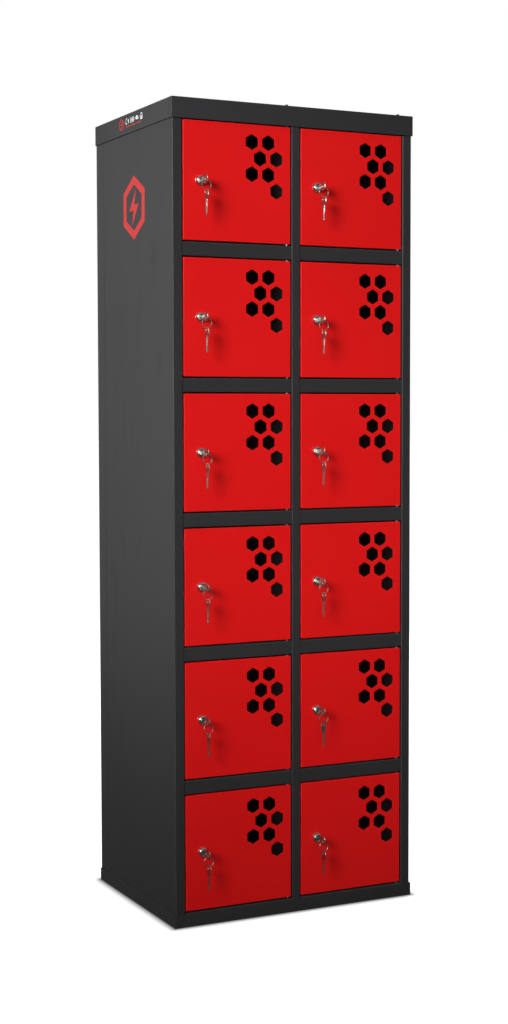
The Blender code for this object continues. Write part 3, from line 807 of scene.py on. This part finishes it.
def make_cap():
    """The cap's pan, face up, with the ledges under its front edge and the ends of the hinge rods."""
    low, high = CAP
    width, depth, skirt = high.x - low.x, high.y - low.y, CAP_TOP - low.z
    middle = middle_of(low, high)
    made = pan(width, depth, skirt).placed((middle.x, middle.y, CAP_TOP), DOWN)
    behind = low.y + SHEET
    path = [(behind, low.z + LEDGE_LAP), (behind, low.z), (FRONT + RAIL_RETURN, low.z)]
    for span in BAYS:
        made.join(ledge(path, span, LEDGE_BEND))
    piece("cap_panel", made, "cabinet", CHARCOAL, ["top_cap"])
    rod = lathe([(0, 0), (ROD_RADIUS, 0), (ROD_RADIUS, ROD_HEAD - 0.0009),
                 (ROD_RADIUS - 0.0003, ROD_HEAD - 0.0004), (ROD_RADIUS - 0.0010, ROD_HEAD - 0.0001),
                 (0, ROD_HEAD)], 24)
    for side in SIDES:
        door_low, door_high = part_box(f"door_{side}_1")
        place = (door_high.x - PIN_FROM_EDGE, door_low.y + PIN_FROM_FACE, CAP_TOP)
        piece(f"hinge_rod_end_{side}", rod.placed(place), "cabinet", CHARCOAL)


def make_base():
    """The base's pan, face down, and the sill folded up, back and down behind its skirt."""
    low, high = BASE
    middle = middle_of(low, high)
    made = pan(high.x - low.x, high.y - low.y, BASE_SKIRT).placed((middle.x, middle.y, low.z))
    behind = low.y + SHEET
    path = [(behind + RAIL_RETURN, SILL_TOP - SILL_LIP), (behind + RAIL_RETURN, SILL_TOP),
            (behind, SILL_TOP), (behind, low.z + LEDGE_LAP)]
    for span in BAYS:
        made.join(ledge(path, span, LEDGE_BEND))
    piece("base_pan", made, "cabinet", CHARCOAL, ["base_tray"])


# ---------------- power


def outlet_shape():
    """A socket plate with a wide port over a narrow one, each a well with its tongue, and a lamp."""
    ports = [rectangle(*WIDE_PORT, 0.0004, WIDE_PLACE),
             rectangle(*NARROW_PORT, 0.0016, NARROW_PLACE, 6)]
    plate = rectangle(SOCKET_PLATE, SOCKET_PLATE, 0.003, steps=6)
    made = slab(plate, 0.0018, [*ports, circle(0.0012, 20, LAMP_PLACE)], 0.0005)
    block, lid = rectangle(SOCKET_BODY, SOCKET_BODY, 0.001), 0.0015
    made.join(slab(block, SOCKET_DEPTH, ports, 0.0003).placed((0, 0, -SOCKET_DEPTH)))
    made.join(slab(block, lid, (), 0.0003, 1).placed((0, 0, -SOCKET_DEPTH - lid)))
    for (x, y), (width, height), raised in ((WIDE_PLACE, WIDE_PORT, 0.0011),
                                            (NARROW_PLACE, NARROW_PORT, 0.0)):
        tongue = rectangle(width * 0.82, height * 0.30, 0.0002, (x, y + raised))
        made.join(slab(tongue, SOCKET_DEPTH, (), 0.0002, 1).placed((0, 0, -SOCKET_DEPTH - 0.0005)))
        rim = rectangle(width, height, min(0.0016, height / 2.1), (x, y), 6)
        made.join(slab(rim, 0.0006, [grown(rim, -0.0003)], 0.0001, 2).placed((0, 0, 0.0013)))
    glow = lathe([(0, 0), (0.0011, 0), (0.0011, 0.0018), (0.0008, 0.0023), (0, 0.0025)], 20, 3)
    return made.join(glow.placed((*LAMP_PLACE, 0)))


def make_power():
    """The duct with a socket plate for each locker."""
    low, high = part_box("power_duct")
    middle = middle_of(low, high)
    places = []
    for mark in MARKS:
        door_low, door_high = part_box(f"door_{mark}")
        x = SOCKET_X if mark.startswith("right") else -SOCKET_X
        places.append((x, middle_of(door_low, door_high).z))
    holes = [rectangle(SOCKET_HOLE, SOCKET_HOLE, HOLE_CORNER, (x - middle.x, z - middle.z))
             for x, z in places]
    made = pan(high.x - low.x, high.z - low.z, high.y - low.y, BEND, holes)
    piece("cable_duct", made.placed((middle.x, low.y, middle.z), INTO), "cabinet", CHARCOAL,
          ["power_duct"])
    socket = outlet_shape()
    for mark, (x, z) in zip(MARKS, places):
        piece(f"charging_socket_{mark}", socket.placed((x, low.y, z), FORWARD), "cabinet",
              (GREY_PLASTIC, BLACK_PLASTIC, NICKEL, READY_LAMP))


def inlet_shape():
    """A mains inlet seen from behind: a flange with two screws round a well with three pins."""
    right, top, nip, depth, lid = 0.01225, 0.0085, 0.0055, 0.0180, 0.0015
    well = rounded_polygon([(-right + nip, -top), (right - nip, -top), (right, -top + nip),
                            (right, top), (-right, top), (-right, -top + nip)], 0.0012)
    made = slab(rectangle(0.0560, 0.0330, 0.004, steps=6), 0.0022, [well], 0.0006)
    block = rectangle(0.0470, 0.0260, 0.002)
    made.join(slab(block, depth, [well], 0.0003).placed((0, 0, -depth)))
    made.join(slab(block, lid).placed((0, 0, -depth - lid)))
    for x, y in ((-0.0070, -0.0005), (0.0070, -0.0005), (0, 0.0030)):
        pin = slab(rectangle(0.0020, 0.0040, 0.0003), 0.0150, (), 0.0004, 1)
        made.join(pin.placed((x, y, -depth)))
    for x in (-0.0215, 0.0215):
        screw = slab(circle(0.0030, 28), 0.0012, [hexagon(0.0022, 0.0002)], 0.0004, 1)
        made.join(screw.placed((x, 0, 0.0020)))
    return made


def make_back():
    """The back panel's tray with the mains inlet in it."""
    low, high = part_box("back_panel")
    middle = middle_of(low, high)
    hole = rectangle(*INLET_HOLE, HOLE_CORNER, (-middle.x, INLET_HEIGHT - middle.z))
    made = pan(high.x - low.x, high.z - low.z, high.y - low.y, BEND, [hole])
    piece("back_sheet", made.placed((middle.x, high.y, middle.z), INTO_BACK), "cabinet", CHARCOAL,
          ["back_panel"])
    piece("mains_inlet", inlet_shape().placed((0, high.y, INLET_HEIGHT), FROM_BACK), "cabinet",
          (BLACK_PLASTIC, ZINC))


# ---------------- markings


def bolt(height, middle=(0, 0)):
    """A lightning bolt's outline."""
    corners = ((0.14, 0.50), (-0.33, -0.08), (-0.03, -0.08), (-0.14, -0.50), (0.33, 0.08),
               (0.03, 0.08))
    return np.array(corners) * height + middle


def cut_vinyl(outline, holes=(), paint=0):
    """A flat sign, half of its thickness proud of the surface that it is laid on."""
    return slab(outline, 2 * VINYL, holes, VINYL_EDGE, paint).placed((0, 0, -VINYL))


def badge(flats, band, middle=(0, 0)):
    """A hexagon's band with a bolt in it."""
    ring = cut_vinyl(hexagon(flats, band / 4, middle), [hexagon(flats - 2 * band, band / 6, middle)])
    return ring.join(cut_vinyl(bolt(0.66 * flats, middle)))


def pictograms():
    """White signs in a row: a phone, a bolt, a battery with its bars, a plug and a padlock."""
    def sign(width, height, x, y, radius, holes=()):
        inner = [rectangle(w, h, r, (x + dx, y + dy)) for w, h, dx, dy, r in holes]
        return cut_vinyl(rectangle(width, height, radius, (x, y)), inner, 1)

    made = sign(0.0082, 0.0140, -0.0300, 0.0030, 0.0016, ((0.0058, 0.0094, 0, 0.0004, 0.0005),))
    made.join(cut_vinyl(bolt(0.0140, (-0.0170, 0.0030)), paint=1))
    made.join(sign(0.0210, 0.0110, 0.0040, 0.0030, 0.0015, ((0.0182, 0.0082, 0, 0, 0.0007),)))
    made.join(sign(0.0016, 0.0048, 0.0156, 0.0030, 0.0004))
    for x in (-0.0015, 0.0037, 0.0089):
        made.join(sign(0.0038, 0.0054, x, 0.0030, 0.0004))
    made.join(sign(0.0100, 0.0090, 0.0320, 0.0030, 0.0022))
    made.join(sign(0.0075, 0.0016, 0.0242, 0.0030, 0.0004))
    for y in (0.0010, 0.0050):
        made.join(sign(0.0046, 0.0017, 0.0395, y, 0.0004))
    made.join(sign(0.0120, 0.0080, 0.0580, 0.0000, 0.0010))
    made.join(sign(0.0086, 0.0090, 0.0580, 0.0056, 0.0034, ((0.0056, 0.0070, 0, -0.0006, 0.0022),)))
    return made


def make_markings():
    """A generic emblem on the left side, and a strip of signs on the cap above it."""
    depth, height = EMBLEM_PLACE
    piece("side_emblem", badge(EMBLEM_FLATS, EMBLEM_BAND).placed((LEFT[0].x, depth, height), ON_LEFT),
          "cabinet", RED_VINYL)
    depth, height = LABEL_PLACE
    strip = badge(0.0240, 0.0026, (-0.0600, 0)).join(pictograms())
    strip.join(cut_vinyl(rectangle(0.0900, 0.0020, 0.0006, (0.0110, -0.0090))))
    piece("cap_label", strip.placed((CAP[0].x, depth, height), ON_LEFT), "cabinet",
          (RED_VINYL, WHITE_VINYL))


# ---------------- doors, locks and keys in place


def make_doors():
    """Every door with its pins, lock, key and hanging key, each on the body that it moves with."""
    shapes = {}
    for mark in MARKS:
        low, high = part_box(f"door_{mark}")
        width, height, depth = high.x - low.x, high.z - low.z - 2 * PIN_REACH, high.y - low.y
        middle = middle_of(low, high)
        lock_low, lock_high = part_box(f"lock_body_{mark}")
        axis = middle_of(lock_low, lock_high)
        nut = (lock_high.z - lock_low.z) / 2
        if not shapes:
            shapes = {
                "pan": door_shape(width, height, depth, axis.x - middle.x),
                "pin": pin_shape(),
                "lock": bezel_shape().join(barrel_shape()).join(nut_shape(nut)),
                "plug": plug_shape(), "cam": cam_shape(), "ring": ring_shape(),
                "key": key_shape(BOW_REACH - PLUG_REACH + KEY_IN_LOCK),
                "spare": key_shape(BOW_RADIUS + SPARE_BLADE),
            }
        face = low.y
        door, plug, ring = f"door_{mark}", f"plug_{mark}", f"ring_{mark}"
        piece(f"door_pan_{mark}", shapes["pan"].placed((middle.x, face, middle.z), INTO), door, RED,
              [f"door_{mark}"])
        pins = Shape()
        for end in (low.z, high.z - PIN_REACH - PIN_TAIL):
            pins.join(shapes["pin"].placed((high.x - PIN_FROM_EDGE, face + PIN_FROM_FACE, end)))
        piece(f"hinge_pins_{mark}", pins, door, ZINC)
        at_lock = (axis.x, face, axis.z)
        piece(f"cam_lock_{mark}", shapes["lock"].placed(at_lock, FORWARD), door, CHROME,
              [f"lock_body_{mark}"])
        plug_and_cam = shapes["plug"].placed((axis.x, face - PLUG_REACH, axis.z), INTO)
        cam = shapes["cam"].placed((axis.x, face + BARREL_LENGTH + CAM_GAP, axis.z), INTO)
        piece(f"lock_plug_{mark}", plug_and_cam.join(cam), plug, NICKEL,
              [f"key_plug_{mark}"])
        in_lock = (axis.x, face - BOW_REACH, axis.z)
        piece(f"key_{mark}", shapes["key"].placed(in_lock, SIDEWAYS), plug, NICKEL)
        twist = SPARE_TWIST if mark == TWISTED_SPARE else 0.0
        across = (-math.sin(twist), math.cos(twist), 0)
        flat = (math.cos(twist), math.sin(twist), 0)
        bow_y = face - BOW_REACH - BOW_HOLE_OFFSET
        ring_z = axis.z - RING_DROP
        hole_z = ring_z - RING_RADIUS + RING_WIRE / 2 - BOW_HOLE
        hanging = shapes["ring"].placed((axis.x, bow_y, ring_z))
        hanging.join(shapes["spare"].placed((axis.x, bow_y, hole_z - BOW_HOLE_OFFSET),
                                            ((0, 0, -1), across, flat)))
        piece(f"ring_and_key_{mark}", hanging, ring, NICKEL, [f"spare_keys_{mark}"])


# ---------------- stage


def make_camera():
    """A long lens at eye level, in front and to the left."""
    lens = bpy.data.cameras.new("camera")
    lens.lens, lens.sensor_width = 60.22, 36.0
    camera = bpy.data.objects.new("camera", lens)
    camera.location = (-1.7758, -3.6053, 1.1287)
    camera.rotation_euler = [math.radians(turn) for turn in (86.649, 0.120, -26.292)]
    bpy.context.scene.collection.objects.link(camera)
    bpy.context.scene.camera = camera


def softbox(name, place, target, width, height, power, spread=180):
    """A rectangular lamp at a place, turned to a target, unseen by the camera itself."""
    light = bpy.data.lights.new(name, "AREA")
    light.shape, light.size, light.size_y, light.energy = "RECTANGLE", width, height, power
    light.spread = math.radians(spread)
    made = bpy.data.objects.new(name, light)
    made.location = place
    made.rotation_euler = (Vector(target) - made.location).to_track_quat("-Z", "Y").to_euler()
    made.visible_camera = False
    bpy.context.scene.collection.objects.link(made)


def make_floor():
    """A pale floor out to the horizon, level with the underside of the base.

    It glows, so that it stays white far from the lights, and a painted contact shadow darkens it
    beside the base: as the distance from the base's rectangle,
    sqrt(max(|x| - a, 0)^2 + max(|y| - b, 0)^2), falls to nothing."""
    reach, painted_shadow_fade = 60.0, 0.024
    low, high = BASE
    mesh = bpy.data.meshes.new("floor")
    mesh.from_pydata([(-reach, -reach, low.z), (reach, -reach, low.z), (reach, reach, low.z),
                      (-reach, reach, low.z)], [], [(0, 1, 2, 3)])
    made = bpy.data.objects.new("floor", mesh)
    bpy.context.scene.collection.objects.link(made)
    finish = Finish("pale_floor_painted_shadow")
    away = []
    for axis in (0, 1):
        along = finish.node("ShaderNodeSeparateXYZ", {}, {0: finish.place()}, axis)
        from_middle = (along - middle_of(low, high)[axis]).maths("ABSOLUTE")
        away.append((from_middle - (high - low)[axis] / 2).maths("MAXIMUM", 0.0))
    gap = (away[0] * away[0] + away[1] * away[1]) ** 0.5
    # painted contact shadow: the floor's colour darkens towards the base's edge
    near = finish.between(gap, 0.0, painted_shadow_fade) ** 0.8
    colour = finish.blend(near, (0.05, 0.05, 0.05), (0.9, 0.9, 0.9))
    mesh.materials.append(finish.done(Base_Color=colour, Roughness=0.9, Emission_Color=colour,
                                      Emission_Strength=0.9))
    made.visible_glossy = made.visible_diffuse = False


def make_world():
    """White behind the object; what the object itself reflects is dimmer, and dark near the floor."""
    world = bpy.data.worlds.new("studio")
    bpy.context.scene.world = world
    world.use_nodes = True
    tree = world.node_tree
    sky = tree.nodes["Background"]
    direction = tree.nodes.new("ShaderNodeTexCoord")
    height = tree.nodes.new("ShaderNodeSeparateXYZ")
    tree.links.new(direction.outputs["Generated"], height.inputs[0])
    lift = tree.nodes.new("ShaderNodeMapRange")
    tree.links.new(height.outputs["Z"], lift.inputs["Value"])
    for name, value in (("From Min", -0.25), ("From Max", 0.6), ("To Min", 0.04), ("To Max", 0.36)):
        lift.inputs[name].default_value = value
    seen = tree.nodes.new("ShaderNodeLightPath")
    either = tree.nodes.new("ShaderNodeMix")
    tree.links.new(seen.outputs["Is Camera Ray"], either.inputs[0])
    tree.links.new(lift.outputs[0], either.inputs[2])
    either.inputs[3].default_value = 1.0
    tree.links.new(either.outputs[0], sky.inputs["Strength"])
    sky.inputs["Color"].default_value = (1, 1, 1, 1)


def make_stage():
    make_camera()
    make_floor()
    make_world()
    softbox("key_light", (-4.4, -3.4, 2.9), (0.2, -0.22, 2.1), 1.8, 1.8, 45.5, 60)
    softbox("fill_light", (-1.9, -4.0, 1.2), (0.13, -0.2, 0.75), 0.6, 0.6, 1.6, 30)
    softbox("back_light", (-2.6, 2.6, 1.35), (-0.3, 0, 1.0), 2.0, 2.7, 19)
    softbox("right_back_light", (3.4, 2.3, 1.9), (0.2, 0.1, 1.0), 2.0, 2.7, 140)
    bpy.context.scene.view_settings.view_transform = "Standard"


make_stage()
make_sides()
make_divider()
make_shelves()
make_cap()
make_base()
make_power()
make_back()
make_markings()
make_doors()
